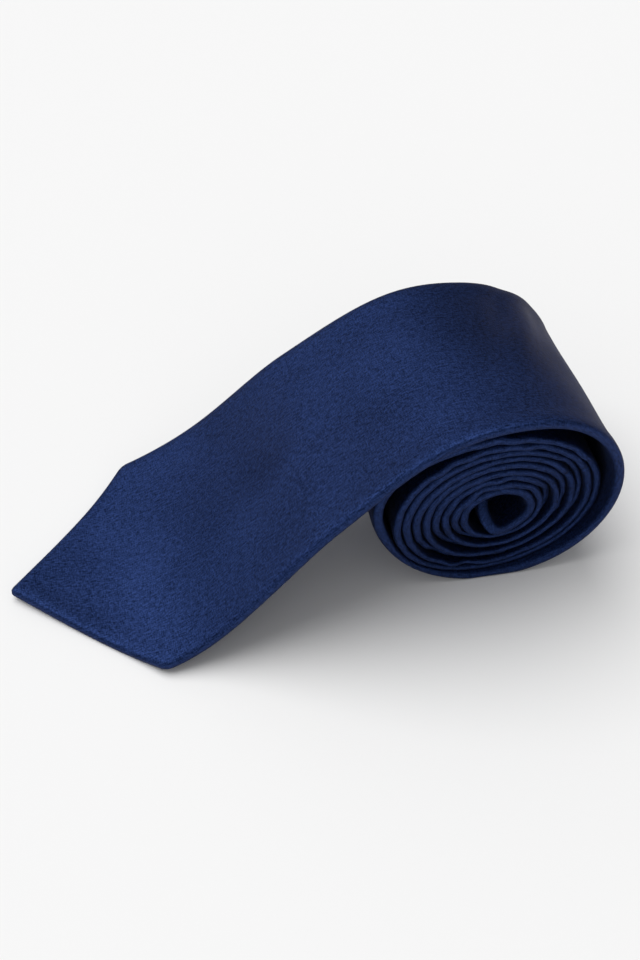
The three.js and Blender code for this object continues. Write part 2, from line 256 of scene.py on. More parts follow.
# Soft dents and swells of the lined cloth: (length, across, long, wide, slant, height).
DENTS = (
    (88, 6, 10, 15, 0.5, -1.0), (104, -6, 9, 17, 0.4, 0.7), (66, -14, 12, 14, -0.3, 0.3),
    (126, 12, 8, 12, 0.3, -0.3), (150, -16, 9, 12, 0.2, 0.25),
    (172, 18, 4.5, 15, -0.55, -1.15), (182, 8, 4.5, 16, -0.55, 0.9), (192, 20, 5, 13, -0.45, -0.8),
    (205, -4, 8, 14, 0.2, 0.3),
)


def ease(x, start, end):
    """0 before start, 1 after end, smooth between them."""
    t = np.clip((np.asarray(x, float) - start) / (end - start), 0, 1)
    return t * t * (3 - 2 * t)


def bump(x, centre, width):
    """1 at the centre, falling off smoothly on both sides."""
    return np.exp(-(((np.asarray(x, float) - centre) / width) ** 2))


def smooth_min(a, b, reach):
    """The smaller of two values, with the crossing rounded off over the reach."""
    overlap = np.maximum(reach - np.abs(a - b), 0)
    return np.minimum(a, b) - overlap**2 / (4 * reach)


def ripple(x, wavelengths, seed):
    """A smooth wandering value of about -1 to 1: a few sines that never line up."""
    total = sum(np.sin(2 * math.pi * np.asarray(x, float) / w + 1.7 * i + seed)
                for i, w in enumerate(wavelengths))
    return total / len(wavelengths)


# ---- the line of the top surface ----
def spiral_point(spiral, angle, slack):
    """A point of a spiral at an angle, moved out by the slack."""
    turn = angle / 360 - 1
    a = np.radians(angle)
    radius = [half - pitch * turn + slack for half, pitch in zip(spiral["half"], spiral["pitch"])]
    centre = [c + drift * turn for c, drift in zip(spiral["centre"], spiral["drift"])]
    return np.stack([centre[0] + radius[0] * np.sin(a), centre[1] + radius[1] * np.cos(a)], -1)


def wound_point(angle):
    """The line of the roll without its curled end."""
    angle = np.asarray(angle, float)
    slack = sum(most * bump(angle, at, width) for at, width, most in SLACK)
    slack = slack + WOBBLE * ripple(angle, (437.0, 263.0, 171.0), 0.7) * ease(angle, *WOBBLE_FROM)
    tight = ease(angle, TIGHT_FROM, TIGHT_BY)[..., None]
    loose_point = spiral_point(LOOSE_TURN, angle, slack)
    tight_point = spiral_point(TIGHT_TURNS, angle, slack)
    point = (1 - tight) * loose_point + tight * tight_point
    return np.stack([point[..., 0], np.maximum(0, point[..., 1])], -1)


def roll_point(angle):
    """The line of the whole roll."""
    angle = np.asarray(angle, float)
    curled = ease(angle, CURL_FROM, CURL_BY)[..., None]
    return (1 - curled) * wound_point(angle) + curled * spiral_point(CURLED_END, angle, 0)


def towards(point, degrees, distance):
    """The point at a distance and a direction from another."""
    a = math.radians(degrees)
    return (point[0] + distance * math.cos(a), point[1] + distance * math.sin(a))


def bezier(p0, p1, p2, p3, steps):
    """Points of a cubic curve, without its last."""
    t = np.linspace(0, 1, steps, endpoint=False)[:, None]
    p0, p1, p2, p3 = (np.array(p, float) for p in (p0, p1, p2, p3))
    return (1 - t) ** 3 * p0 + 3 * (1 - t) ** 2 * t * p1 + 3 * (1 - t) * t**2 * p2 + t**3 * p3


def smoothed(values, window):
    """The values averaged over a window of an odd number of points."""
    kernel = np.hanning(window) / np.hanning(window).sum()
    return np.convolve(np.pad(values, window // 2, mode="edge"), kernel, mode="valid")


class Lie:
    """The line that the top of the cloth follows, looked up by length from the point of the blade."""

    def __init__(self):
        top = roll_point(ROLL_START)
        ahead = roll_point(ROLL_START + 1) - roll_point(ROLL_START - 1)
        ahead /= np.linalg.norm(ahead)
        angles = np.arange(ROLL_START, ROLL_END + 0.5, 1.0)
        blade = np.concatenate([
            bezier(TIP, towards(TIP, TIP_ANGLE, TIP_HOLD), towards(FLOOR, 180, FLOOR_HOLD[0]), FLOOR, 160),
            bezier(FLOOR, towards(FLOOR, 0, FLOOR_HOLD[1]),
                   towards(LIFT, LIFT_ANGLE + 180, LIFT_HOLD[0]), LIFT, 400),
            bezier(LIFT, towards(LIFT, LIFT_ANGLE, LIFT_HOLD[1]), top - TOP_HOLD * ahead, top, 400),
        ])
        points = np.concatenate([blade, roll_point(angles)])
        angle = np.concatenate([np.full(len(blade), ROLL_START), angles])
        along = np.concatenate([[0], np.cumsum(np.linalg.norm(np.diff(points, axis=0), axis=1))])
        self.length = along[-1]
        self.s = np.arange(0, self.length, LINE_STEP)
        self.x = np.interp(self.s, along, points[:, 0])
        self.z = np.interp(self.s, along, points[:, 1])
        self.angle = np.interp(self.s, along, angle)
        tangent = [smoothed(np.gradient(values), LINE_WINDOW) for values in (self.x, self.z)]
        tangent /= np.linalg.norm(tangent, axis=0)
        self.nx, self.nz = -tangent[1], tangent[0]
        self.thick = smoothed(self.thickness(along[len(blade)]), THICKNESS_WINDOW)

    def thickness(self, roll_start):
        """Of the whole tie: in the roll, what the room between two turns leaves it."""
        outer, inner = wound_point(self.angle), wound_point(self.angle + 360)
        room = (outer[:, 0] - inner[:, 0]) * self.nx + (outer[:, 1] - inner[:, 1]) * self.nz
        room = room - TURN_GAP - TURN_GAP_VARIES * ripple(self.s, (29.0, 47.0, 83.0), 1.1)
        room = np.where(self.s < roll_start, 4 * FREE_THICKNESS, room)
        from_curl = self.angle - CURL_FROM
        room = room + (CURL_THICKNESS - room) * ease(from_curl, *LOOSE_BEFORE_CURL)
        thick = smooth_min(np.full_like(room, FREE_THICKNESS), room, PRESSED_BLEND)
        return thick + TAIL_SWELL * ease(from_curl, *TAIL_SWELL_OVER)

    def at(self, s, name):
        """A value of the line, such as x or thick, at a length from the point of the blade."""
        return np.interp(s, self.s, getattr(self, name))


lie = Lie()
LENGTH = lie.length


# ---- outline of the tie laid flat ----
def body_half_width(s):
    """Half the width of the tie without its points."""
    blade = BLADE_WIDTH - BLADE_TAPER * (s - POINT_LENGTH)
    tail = NECK_WIDTH + (TAIL_WIDTH - NECK_WIDTH) * np.clip((s - NECK_END) / (LENGTH - NECK_END), 0, 1)
    straight = -smooth_min(-blade, np.full_like(blade, -NECK_WIDTH), NECK_ROUND)
    return np.maximum(straight, tail) / 2


def point_distance(from_tip, across, length, width):
    """Distance in from the two slanting sides of a point."""
    slope = width / 2 / length
    square = 1 / math.hypot(1, slope)
    near = (from_tip * slope - across) * square
    far = (from_tip * slope + across) * square
    return smooth_min(near, far, TIP_ROUND) + TIP_ROUND / 4


def inset(s, across):
    """Distance in from the outline of the tie, with its corners rounded."""
    across = np.abs(across)
    side = body_half_width(s) - across
    front = point_distance(s, across, POINT_LENGTH, BLADE_WIDTH)
    back = point_distance(LENGTH - s, across, TAIL_POINT_LENGTH, TAIL_WIDTH)
    return smooth_min(smooth_min(side, front, CORNER_ROUND), back, CORNER_ROUND)


def half_width(s, level=0.0):
    """Half the width at which the inset is `level`."""
    low = np.zeros_like(s)
    high = np.full_like(s, BLADE_WIDTH)
    for _ in range(40):
        middle = (low + high) / 2
        inside = inset(s, middle) > level
        low = np.where(inside, middle, low)
        high = np.where(inside, high, middle)
    return low


def flap_gap(s):
    """Half the opening between the back flaps: wide behind each point, closed along the seam."""
    width = half_width(s)
    from_tail = LENGTH - s
    front = np.where(
        s < POINT_LENGTH, width - BLADE_HEM,
        (BLADE_WIDTH / 2 - BLADE_HEM) * (1 - (s - POINT_LENGTH) / (BLADE_FLAPS_MEET - POINT_LENGTH)))
    back = np.where(
        from_tail < TAIL_POINT_LENGTH, width - TAIL_HEM,
        (TAIL_WIDTH / 2 - TAIL_HEM)
        * (1 - (from_tail - TAIL_POINT_LENGTH) / (TAIL_FLAPS_MEET - TAIL_POINT_LENGTH)))
    return np.maximum(SEAM_HALF_GAP, np.maximum(front, back))


# ---- from the flat tie to the rolled one ----
def centre_line(s):
    """Where the middle of the tie lies across the roll."""
    shoulder = np.minimum(s, LENGTH - TAIL_POINT_LENGTH)
    flush = NEAR_EDGE + CORE_RECESS * (s / LENGTH) + body_half_width(shoulder)
    wander = (WANDER * ripple(s, (61.0, 97.0, 171.0), 0.4) + pucker(s)) * ease(s, *WANDER_FROM)
    forward = TAIL_FORWARD * ease(s, LENGTH - TAIL_FORWARD_FROM, LENGTH - TAIL_FORWARD_BY)
    rolled = flush + wander - forward + recess(s)
    return BLADE_SKEW * s + (rolled - BLADE_SKEW * s) * ease(s, SKEW_END, FLUSH_FROM)


def pucker(s):
    """Short kinks in the edge, which come in groups."""
    grouped = ease(ripple(s, (143.0, 89.0), 2.2), 0.0, 0.6)
    return PUCKER * grouped * ripple(s, (9.5, 14.0, 21.0), 0.9)


def recess(s):
    """How far each turn has slipped back from the end face."""
    angle = lie.at(s, "angle")
    turn = np.floor(angle / 360)
    within = angle - 360 * turn
    slipped = (turn % 2 == 1) & (turn >= RECESS_TURNS[0]) & (turn <= RECESS_TURNS[1])
    uneven = 0.8 + 0.2 * ripple(s, (37.0, 71.0), 0.3)
    return RECESS * uneven * slipped * ease(within, *RECESS_FROM) * (1 - ease(within, *RECESS_TO))


def lean(s, across):
    """Height added by the way the cloth leans across its width."""
    share = across / np.maximum(body_half_width(s), 1)
    flare = bump(s, FLARE_AT, np.where(s < FLARE_AT, FLARE_BEFORE, FLARE_AFTER))
    flare = flare * ease(s, *FLARE_IN) * (1 - ease(s, *FLARE_OUT))
    outer = flare * (FLARE_CROWN * share**2 - FLARE * share)
    corner = CORNER_TWIST * share * bump(s, CORNER_TWIST_AT, CORNER_TWIST_WIDTH)
    dents = sum(height * bump(s + slant * across, at, long) * bump(across, middle, wide)
                for at, middle, long, wide, slant, height in DENTS)
    from_edge = across + body_half_width(s)
    crumple = EDGE_CRUMPLE * ripple(s, (7.5, 11.0, 17.0), 1.9) * bump(from_edge, 0, CRUMPLE_REACH)
    crumple = crumple * ease(s, *CRUMPLE_FROM)
    return outer + corner + dents + crumple


def place(s, across, depth):
    """Points of the shared frame, in mm, at a length, a distance across and a depth."""
    lift = lean(s, across) - depth
    x = lie.at(s, "x") + lie.at(s, "nx") * lift
    z = lie.at(s, "z") + lie.at(s, "nz") * lift
    pressed = np.logaddexp(0, z * FLOOR_PRESS) / FLOOR_PRESS
    return np.stack([x + SHIFT[0], centre_line(s) + across + SHIFT[1], pressed], -1)


# ---- meshes ----
def add_mesh(name, points, faces, material, cloth=None, edge=None, flat=0):
    """A mesh from points in mm, smooth but for its last `flat` faces. cloth gives each point's
    place on the flat cloth, in mm."""
    mesh = bpy.data.meshes.new(name)
    mesh.from_pydata((np.asarray(points) * MM).tolist(), [], faces)
    smooth = np.ones(len(mesh.polygons), bool)
    smooth[len(faces) - flat:] = False
    mesh.polygons.foreach_set("use_smooth", smooth)
    if cloth is not None:
        corner = np.zeros(len(mesh.loops), np.int64)
        mesh.loops.foreach_get("vertex_index", corner)
        uv = mesh.uv_layers.new(name="cloth")
        uv.data.foreach_set("uv", np.asarray(cloth, float)[corner].astype(np.float32).ravel())
    if edge is not None:
        fold = mesh.attributes.new("edge", "FLOAT", "POINT")
        fold.data.foreach_set("value", np.asarray(edge, np.float32))
    mesh.materials.append(material)
    mesh.update()
    made = bpy.data.objects.new(name, mesh)
    bpy.context.scene.collection.objects.link(made)
    return made


def loop_faces(rows, count):
    """Faces of a tube made of closed loops of `count` points. Its ends are closed by strips,
    because the second half of each loop runs back along the first."""
    faces = []
    for i in range(rows - 1):
        a = i * count
        for k in range(count):
            n = (k + 1) % count
            faces.append((a + k, a + n, a + count + n, a + count + k))
    last = (rows - 1) * count
    for k in range(count // 2 - 1):
        strip = (k, k + 1, count - 2 - k, count - 1 - k)
        faces.append(tuple(reversed(strip)))
        faces.append(tuple(last + i for i in strip))
    return faces


def swept(name, s, across, depth, material, v=None, edge=None):
    """A closed solid along the tie. Each row of the arrays is a loop of points round its section."""
    rows, count = across.shape
    s = np.broadcast_to(s, across.shape)
    points = place(s, across, depth).reshape(-1, 3)
    cloth = np.stack([s, across if v is None else v], -1).reshape(-1, 2)
    return add_mesh(name, points, loop_faces(rows, count), material, cloth,
                    None if edge is None else edge.ravel(), 2 * (count // 2 - 1))


def fold_shape(share):
    """How far towards full thickness the cloth is, at a share of the fold's reach in from the edge."""
    x = 1 - np.clip(share, 0, 1)
    return (1 - x**FOLD_POWER) ** (1 / FOLD_POWER)


def half_profile(s, level, gap):
    """Distances across of a layer of the envelope, from the middle of the front, round the fold at
    one edge and back to the edge of the flap, with +1 for front points and -1 for back points."""
    width = half_width(s, level)
    reach = np.minimum(width - half_width(s, FOLD_REACH), FOLD_SHARE * width)
    flat = (width - reach)[:, None]
    turn = np.linspace(math.pi / 2, 0, FOLD_STEPS + 1)
    fold = width[:, None] - reach[:, None] * (1 - np.cos(turn))
    front = flat * np.sin(np.linspace(0, math.pi / 2, FRONT_STEPS, endpoint=False))
    gap = np.minimum(gap, FLAP_SHARE * (width - reach))[:, None]
    back = flat + (gap - flat) * np.sin(np.linspace(0, math.pi / 2, BACK_STEPS + 1))[1:]
    across = np.concatenate([front, fold, fold[:, -2::-1], back], 1)
    side = np.concatenate([np.ones(FRONT_STEPS + FOLD_STEPS), [0], -np.ones(FOLD_STEPS + BACK_STEPS)])
    return across, side


def layer(s, level, gap):
    """One surface of the envelope: distances across, depths and the inset, for each row in s."""
    half, side = half_profile(s, level, gap)
    across = np.concatenate([-half[:, :0:-1], half], 1)
    side = np.concatenate([side[:0:-1], side])
    rows = np.broadcast_to(s[:, None], across.shape)
    inward = np.maximum(inset(rows, across) - level, 0)
    thick = lie.at(rows, "thick")
    middle = thick / 2
    full = middle - level
    swell = PILLOW * bump(inset(rows, across), PILLOW_AT, PILLOW_WIDTH)
    swell = swell * (1 - PILLOW_PRESSED * ease(rows, *PRESSED_OVER))
    uneven = UNEVEN * ripple(rows + 0.5 * across, (23.0, 37.0, 59.0), 2.0) * ease(inward, *UNEVEN_IN)
    height = full * fold_shape(inward / (FOLD_REACH - level)) + np.where(side > 0, swell + uneven, 0)
    height = height - np.where(side < 0, SEAM_DIP * seam_groove(rows, across), 0)
    return across, middle - side * height, np.maximum(1 - inward / FOLD_REACH, 0)


def seam_groove(s, across):
    """The flaps turn in where they meet, clear of the tipping behind each point."""
    rises, risen = (LENGTH - back for back in SEAM_RISES)
    closed = ease(s, *SEAM_SINKS) * (1 - ease(s, rises, risen))
    return np.exp(-np.maximum(np.abs(across) - SEAM_HALF_GAP, 0) / SEAM_DIP_REACH) * closed


def envelope(name, s, material):
    """The silk: its outer surface one way and its inner surface back, as one closed shell."""
    gap = flap_gap(s)
    across, depth, edge = layer(s, 0.0, gap)
    shift = TIP_INSET * (np.exp(-s / TIP_INSET_REACH) - np.exp((s - LENGTH) / TIP_INSET_REACH))
    inner_s = s + shift
    inner_across, inner_depth, _ = layer(inner_s, SILK, gap)
    v = np.concatenate([np.zeros((len(s), 1)),
                        np.cumsum(np.hypot(np.diff(across, axis=1), np.diff(depth, axis=1)), 1)], 1)
    v = v - v[:, v.shape[1] // 2][:, None]
    lengths = np.concatenate([np.broadcast_to(s[:, None], across.shape),
                              np.broadcast_to(inner_s[:, None], across.shape)], 1)
    return swept(name, lengths,
                 np.concatenate([across, inner_across[:, ::-1]], 1),
                 np.concatenate([depth, inner_depth[:, ::-1]], 1),
                 material,
                 np.concatenate([v, v[:, ::-1]], 1),
                 np.concatenate([edge, 0 * edge], 1))


def rows_between(start, end, at_point=False, at_tail=False):
    """Lengths at which the tie gets a row of points: closer at the ends that come to a point."""
    first = np.array(POINT_ROWS)
    head = start + first if at_point else np.array([start])
    tail = end - first[::-1] if at_tail else np.array([end])
    rows = [head[-1]]
    while rows[-1] < tail[0]:
        radius = np.interp(rows[-1], lie.s, turn_radius())
        rows.append(rows[-1] + float(np.clip(radius * ROW_ANGLE, *ROW_STEPS)))
    middle = np.array(rows[1:-1])
    middle = head[-1] + (middle - head[-1]) * ((tail[0] - head[-1]) / (rows[-1] - head[-1]))
    return np.concatenate([head, middle, tail])


def turn_radius():
    """The rough radius of the roll at each length."""
    turn = np.maximum(lie.angle / 360 - 1, 0)
    wound = TIGHT_TURNS["half"][1] - TIGHT_TURNS["pitch"][1] * turn
    return np.where(lie.angle > CURL_FROM, CURL_RADIUS, wound)


def solid_layer(s, level, top, bottom):
    """A closed loop for a layer inside the envelope: its top from left to right, its bottom back."""
    width = half_width(s, level)
    reach = np.minimum(width - half_width(s, max(FOLD_REACH, level + LAYER_ROUND)), FOLD_SHARE * width)
    turn = (np.arange(FOLD_STEPS) + 0.5) / FOLD_STEPS * math.pi / 2
    fold = width[:, None] - reach[:, None] * (1 - np.cos(turn))
    flat = (width - reach)[:, None] * np.sin(np.linspace(math.pi / 2, 0, FRONT_STEPS))[1:]
    half = np.concatenate([fold, flat], 1)
    across = np.concatenate([-half, half[:, -2::-1]], 1)
    rows = np.broadcast_to(s[:, None], across.shape)
    inward = np.maximum(inset(rows, across) - level, 0)
    round_reach = max(FOLD_REACH - level, LAYER_ROUND)
    middle = (top + bottom)[:, None] / 2
    height = (bottom - top)[:, None] / 2 * fold_shape(inward / round_reach)
    return (np.concatenate([across, across[:, ::-1]], 1),
            np.concatenate([middle - height, (middle + height)[:, ::-1]], 1))


def tipping_room(s):
    """How much of the thickness the tipping and the air over it take."""
    front = 1 - ease(s, *TIPPING_FADES)
    starts, full = (LENGTH - back for back in TAIL_TIPPING_FADES)
    return (TIPPING + LAYER_GAP) * np.maximum(front, ease(s, starts, full))


def interlining(name, s, material):
    """The wool inside the envelope."""
    thick = lie.at(s, "thick")
    top = np.full_like(s, SILK + LAYER_GAP)
    bottom = thick - SILK - LAYER_GAP - tipping_room(s) - LINING_DIP * seam_groove(s, np.zeros_like(s))
    across, depth = solid_layer(s, SILK + LAYER_GAP, top, bottom)
    return swept(name, s[:, None], across, depth, material)


def tipping(name, s, material):
    """The lining behind a point, between the interlining and the flaps."""
    bottom = lie.at(s, "thick") - SILK - LAYER_GAP
    across, depth = solid_layer(s, TIPPING_LEVEL, bottom - TIPPING, bottom)
    return swept(name, s[:, None], across, depth, material)


# ---- threads and small strips ----
def tube(name, path, radius, material, sides=THREAD_SIDES):
    """A thread: a round tube along a list of points in mm, closed at both ends."""
    path = np.asarray(path, float)
    tangent = np.gradient(path, axis=0)
    tangent /= np.linalg.norm(tangent, axis=1)[:, None]
    normal = np.cross(tangent[0], (0.3, 1.0, 0.2))
    points, uv = [], []
    along = np.concatenate([[0], np.cumsum(np.linalg.norm(np.diff(path, axis=0), axis=1))])
    for p, t, a in zip(path, tangent, along):
        normal = normal - t * (normal @ t)
        normal /= np.linalg.norm(normal)
        other = np.cross(t, normal)
        for k in range(sides):
            turn = 2 * math.pi * k / sides
            points.append(p + radius * (math.cos(turn) * normal + math.sin(turn) * other))
            uv.append((a, 2 * math.pi * radius * k / sides))
    faces = []
    for i in range(len(path) - 1):
        a = i * sides
        for k in range(sides):
            n = (k + 1) % sides
            faces.append((a + k, a + n, a + sides + n, a + sides + k))
    last = (len(path) - 1) * sides
    faces.append(tuple(range(sides - 1, -1, -1)))
    faces.append(tuple(last + k for k in range(sides)))
    return add_mesh(name, points, faces, material, uv)


def smooth_path(points, per_step=THREAD_STEPS):
    """Catmull-Rom points through a list of points."""
    p = np.asarray(points, float)
    p = np.concatenate([[2 * p[0] - p[1]], p, [2 * p[-1] - p[-2]]])
    t = np.linspace(0, 1, per_step, endpoint=False)[:, None]
    out = []
    for i in range(1, len(p) - 2):
        a, b, c, d = p[i - 1:i + 3]
        out.append(0.5 * (2 * b + (c - a) * t + (2 * a - 5 * b + 4 * c - d) * t**2
                          + (3 * b - a - 3 * c + d) * t**3))
    return np.concatenate(out + [p[-2:-1]])


def slip_stitch(name, start, end, material):
    """One long thread that lies in the groove between the flaps and crosses it at each stitch."""
    route = []
    for i in range(int((end - start) / STITCH)):
        s = start + i * STITCH
        side = 1 if i % 2 else -1
        route += [(s + share * STITCH, side * across, above) for share, across, above in STITCH_ROUTE]
    s, across, above = np.array(route).T
    depth = lie.at(s, "thick") - SEAM_DIP * ease(s, *SEAM_SINKS) - above
    return tube(name, smooth_path(place(s, across, depth)), THREAD, material)


def zigzag_tack(name, s, reach_s, y0, y1, passes, under, material):
    """A tack: one thread worked back and forth along a short bar, this far under the back."""
    route = []
    for i in range(passes + 1):
        y = y0 + (y1 - y0) * i / passes
        side = 1 if i % 2 else -1
        route.append((s - side * reach_s, y, under - TACK_WAVE))
        route.append((s, y + (y1 - y0) / passes * 0.5, under + TACK_WAVE))
    along, across, below = np.array(route).T
    depth = lie.at(along, "thick") + below
    return tube(name, smooth_path(place(along, across, depth)), TACK_THREAD, material)


def strip(name, s0, s1, across, below, thickness, material):
    """A narrow band lying across the back of the tie. across and below give its middle line."""
    across, below = np.asarray(across, float), np.asarray(below, float)
    half = (s1 - s0) / 2
    side = np.linspace(-1, 1, BAND_POINTS)
    offset = half * np.sin(side * math.pi / 2)
    edge = fold_shape((half - np.abs(offset)) / BAND_EDGE) * 0.5 * thickness + BAND_EDGE_LEAST
    slope = np.gradient(below) / np.maximum(np.abs(np.gradient(across)), 1e-6)
    rows_s = np.concatenate([(s0 + s1) / 2 + offset, ((s0 + s1) / 2 + offset)[::-1]])
    out_s = np.broadcast_to(rows_s, (len(across), 2 * BAND_POINTS))
    over = np.concatenate([-edge, edge[::-1]])
    depth = lie.at(out_s, "thick") + below[:, None] + over / np.cos(np.arctan(slope))[:, None]
    across = np.broadcast_to(across[:, None], out_s.shape)
    return swept(name, out_s[::-1], across[::-1], depth[::-1], material, across[::-1])


def at_angle(degrees):
    """The length along the tie at an angle round the roll."""
    return float(np.interp(degrees, lie.angle, lie.s))


# ---- materials ----
class Nodes:
    """A small helper for building a material's nodes."""

    def __init__(self, name):
        self.material = bpy.data.materials.new(name)
        self.material.use_nodes = True
        self.tree = self.material.node_tree
        self.shader = next(n for n in self.tree.nodes if n.type == "BSDF_PRINCIPLED")

    def add(self, kind, values=None, **settings):
        node = self.tree.nodes.new(kind)
        for key, value in settings.items():
            setattr(node, key, value)
        for key, value in (values or {}).items():
            if isinstance(value, bpy.types.NodeSocket):
                self.tree.links.new(value, node.inputs[key])
            else:
                node.inputs[key].default_value = value
        return node

    def math(self, operation, a, b=0.0, c=0.0):
        return self.add("ShaderNodeMath", {0: a, 1: b, 2: c}, operation=operation).outputs[0]

    def wave(self, coordinate, pitch):
        """0 to 1 and back over each pitch of the coordinate."""
        turns = self.math("MULTIPLY", coordinate, 2 * math.pi / pitch)
        return self.math("MULTIPLY_ADD", self.math("SINE", turns), 0.5, 0.5)

    def mix(self, factor, a, b):
        return self.add("ShaderNodeMix", {0: factor, 6: a, 7: b}, data_type="RGBA").outputs[2]

    def noise(self, vector, scale, detail=2.0, rough=0.5):
        return self.add("ShaderNodeTexNoise", {"Vector": vector, "Scale": scale, "Detail": detail,
                                               "Roughness": rough}).outputs["Fac"]

    def cloth(self, turn=0.0, stretch=(1.0, 1.0)):
        """The place on the flat cloth in mm, turned by some degrees and stretched."""
        uv = self.add("ShaderNodeUVMap", uv_map="cloth").outputs["UV"]
        return self.add("ShaderNodeMapping", {
            "Vector": uv, "Rotation": (0, 0, math.radians(turn)), "Scale": (*stretch, 1)}).outputs[0]

    def split(self, vector):
        node = self.add("ShaderNodeSeparateXYZ", {"Vector": vector})
        return node.outputs[0], node.outputs[1]

    def set(self, **sockets):
        for key, value in sockets.items():
            key = key.replace("_", " ")
            if isinstance(value, bpy.types.NodeSocket):
                self.tree.links.new(value, self.shader.inputs[key])
            else:
                self.shader.inputs[key].default_value = value

    def bump(self, height, distance, strength=1.0):
        node = self.add("ShaderNodeBump", {"Height": height, "Distance": distance * MM,
                                           "Strength": strength})
        self.tree.links.new(node.outputs[0], self.shader.inputs["Normal"])


def silk_material():
    """Navy silk satin, cut on the bias, so that its yarns run at 45 degrees to the tie."""
    n = Nodes("navy_silk")
    warp = n.split(n.cloth(45))[0]
    along = n.split(n.cloth())[0]
    twill = n.wave(n.math("ADD", along, n.math("MULTIPLY", n.noise(n.cloth(), 0.35), 0.5)), TWILL_PITCH)
    yarn = n.wave(warp, YARN_PITCH)
    slub = n.noise(n.cloth(45, (0.5, 2.2)), 1.0, 2.0, 0.5)
    cross_slub = n.noise(n.cloth(45, (2.2, 0.5)), 1.0, 2.0, 0.5)
    fleck = n.noise(n.cloth(0, (2.4, 1.2)), 1.0, 2.0, 0.6)
    cloud = n.noise(n.cloth(0, (0.035, 0.05)), 1.0, 2.0)
    weave = n.math("ADD", n.math("MULTIPLY", twill, 0.6), n.math("MULTIPLY", yarn, 0.4))
    grain = n.math("ADD", n.math("MULTIPLY", slub, 0.4), n.math("MULTIPLY", cross_slub, 0.25))
    grain = n.math("ADD", grain, n.math("MULTIPLY", fleck, 0.35))
    shade = n.math("MULTIPLY_ADD", grain, GRAIN, 0.5 - 0.5 * GRAIN)
    shade = n.math("ADD", shade, n.math("MULTIPLY_ADD", weave, 0.24, -0.12))
    shade = n.math("ADD", shade, n.math("MULTIPLY_ADD", cloud, 0.4, -0.2))
    colour = n.mix(shade, SILK_DARK, SILK_LIGHT)
    edge = n.add("ShaderNodeAttribute", attribute_name="edge").outputs["Fac"]
    # Lighter towards each fold: partly wear, partly a painted sheen highlight on the fold's ridge.
    wear_and_sheen = n.math("MULTIPLY", n.math("POWER", edge, 3.0), n.math("MULTIPLY", slub, 0.3))
    colour = n.mix(wear_and_sheen, colour, SILK_WEAR_AND_SHEEN)
    rough = n.math("MULTIPLY_ADD", grain, 0.2, 0.38)
    n.set(Base_Color=colour, Roughness=rough, Metallic=0.9, Specular_IOR_Level=0.08,
          Specular_Tint=SILK_SHINE, Anisotropic=0.4, Sheen_Weight=0.015, Sheen_Roughness=0.4,
          Sheen_Tint=SILK_SHEEN)
    n.bump(n.math("ADD", n.math("MULTIPLY", weave, 0.6), grain), 0.09, 0.9)
    return n.material


def wool_material():
    """Brushed interlining: a loose, hairy plain weave of undyed wool."""
    n = Nodes("wool_interlining")
    warp, weft = n.split(n.cloth(45))
    grid = n.math("MULTIPLY", n.wave(warp, 0.9), n.wave(weft, 0.9))
    hair = n.noise(n.cloth(20, (1.0, 4.0)), 1.3, 5.0, 0.7)
    height = n.math("ADD", n.math("MULTIPLY", grid, 0.5), hair)
    n.set(Base_Color=n.mix(height, WOOL_DARK, WOOL_LIGHT), Roughness=0.95,
          Sheen_Weight=0.4, Sheen_Roughness=0.6, Specular_IOR_Level=0.15)
    n.bump(height, 0.25)
    return n.material


def tipping_material():
    """The lining behind the points: a smooth, shinier plain weave in a near navy."""
    n = Nodes("tipping_lining")
    warp, weft = n.split(n.cloth(0))
    weave = n.math("ADD", n.wave(warp, 0.16), n.wave(weft, 0.16))
    cloud = n.noise(n.cloth(0, (0.08, 0.3)), 1.0, 3.0)
    shade = n.math("ADD", n.math("MULTIPLY", weave, 0.3), n.math("MULTIPLY", cloud, 0.5))
    n.set(Base_Color=n.mix(shade, LINING_DARK, LINING_LIGHT),
          Roughness=n.math("MULTIPLY_ADD", cloud, 0.15, 0.28), Specular_IOR_Level=0.4,
          Sheen_Weight=0.1, Anisotropic=0.3)
    n.bump(weave, 0.02, 0.7)
    return n.material


def thread_material():
    """Two-ply sewing thread: dark navy with a slanting twist."""
    n = Nodes("sewing_thread")
    along, around = n.split(n.cloth())
    ply = n.wave(n.math("ADD", along, n.math("MULTIPLY", around, 0.7)), 0.42)
    fuzz = n.noise(n.cloth(0, (2.0, 5.0)), 1.5, 4.0)
    shade = n.math("ADD", n.math("MULTIPLY", ply, 0.6), n.math("MULTIPLY", fuzz, 0.4))
    n.set(Base_Color=n.mix(shade, THREAD_DARK, THREAD_LIGHT), Roughness=0.6,
          Specular_IOR_Level=0.3, Sheen_Weight=0.2)
    n.bump(ply, 0.08)
    return n.material


def label_material():
    """A blank woven label in off-white satin ribbon."""
    n = Nodes("blank_label")
    warp, weft = n.split(n.cloth(0))
    rib = n.wave(weft, 0.3)
    fine = n.wave(warp, 0.18)
    cloud = n.noise(n.cloth(0, (0.2, 0.2)), 1.0, 3.0)
    weave = n.math("ADD", n.math("MULTIPLY", rib, 0.6), n.math("MULTIPLY", fine, 0.4))
    shade = n.math("ADD", n.math("MULTIPLY", weave, 0.5), n.math("MULTIPLY", cloud, 0.5))
    n.set(Base_Color=n.mix(shade, LABEL_DARK, LABEL_LIGHT), Roughness=0.5,
          Specular_IOR_Level=0.4, Sheen_Weight=0.15)
    n.bump(weave, 0.03)
    return n.material


def floor_material():
    n = Nodes("studio_floor")
    n.set(Base_Color=FLOOR_WHITE, Roughness=0.9, Specular_IOR_Level=0.1)
    return n.material


